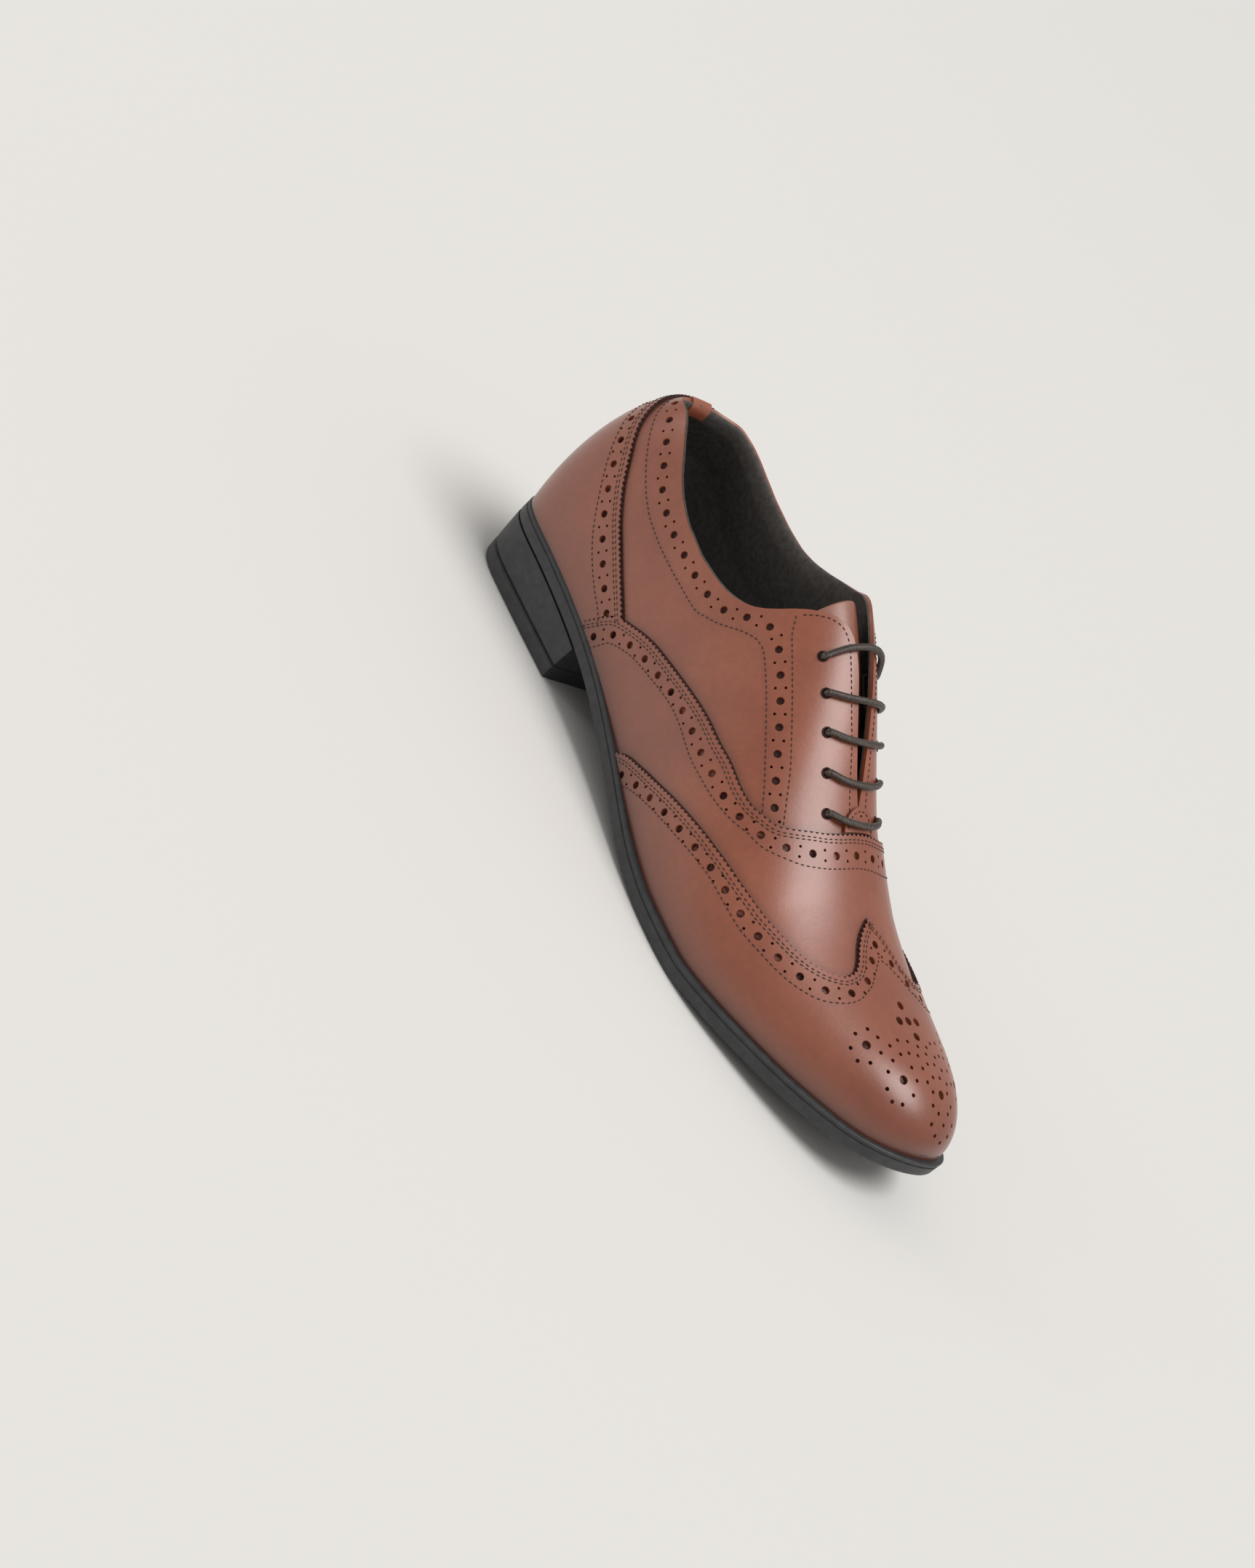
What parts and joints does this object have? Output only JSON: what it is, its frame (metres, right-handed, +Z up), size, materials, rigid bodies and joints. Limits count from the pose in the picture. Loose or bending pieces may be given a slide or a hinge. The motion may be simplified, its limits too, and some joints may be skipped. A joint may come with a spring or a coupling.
{
  "type": "brogue shoe",
  "caption": "Brown leather wing-cap brogue for the right foot, laced in straight bars, with a padded collar lining and a dark rubber sole and heel.",
  "frame": {"origin": "under the middle of the shoe's box, on the floor that it stands on", "axes": "+X towards the toe, +Y towards the inner side of the right foot, +Z up"},
  "size_m": [0.3004, 0.1058, 0.1072],
  "materials": {
    "upper_leather": "satin",
    "overlay_leather": "satin",
    "tongue_leather": "satin",
    "sole_rubber": "matte",
    "insole_lining": "matte",
    "lace_cord": "matte"
  },
  "bodies": {
    "root": {"outsole": "sole_rubber", "heel_block": "sole_rubber", "heel_top_lift": "sole_rubber", "insole": "insole_lining", "upper": "upper_leather", "vamp": "overlay_leather", "wing_cap": "overlay_leather", "heel_counter": "overlay_leather", "back_strap": "upper_leather", "tongue": "tongue_leather", "throat_tab": "overlay_leather", "lace": "lace_cord"}
  },
  "joints": []
}
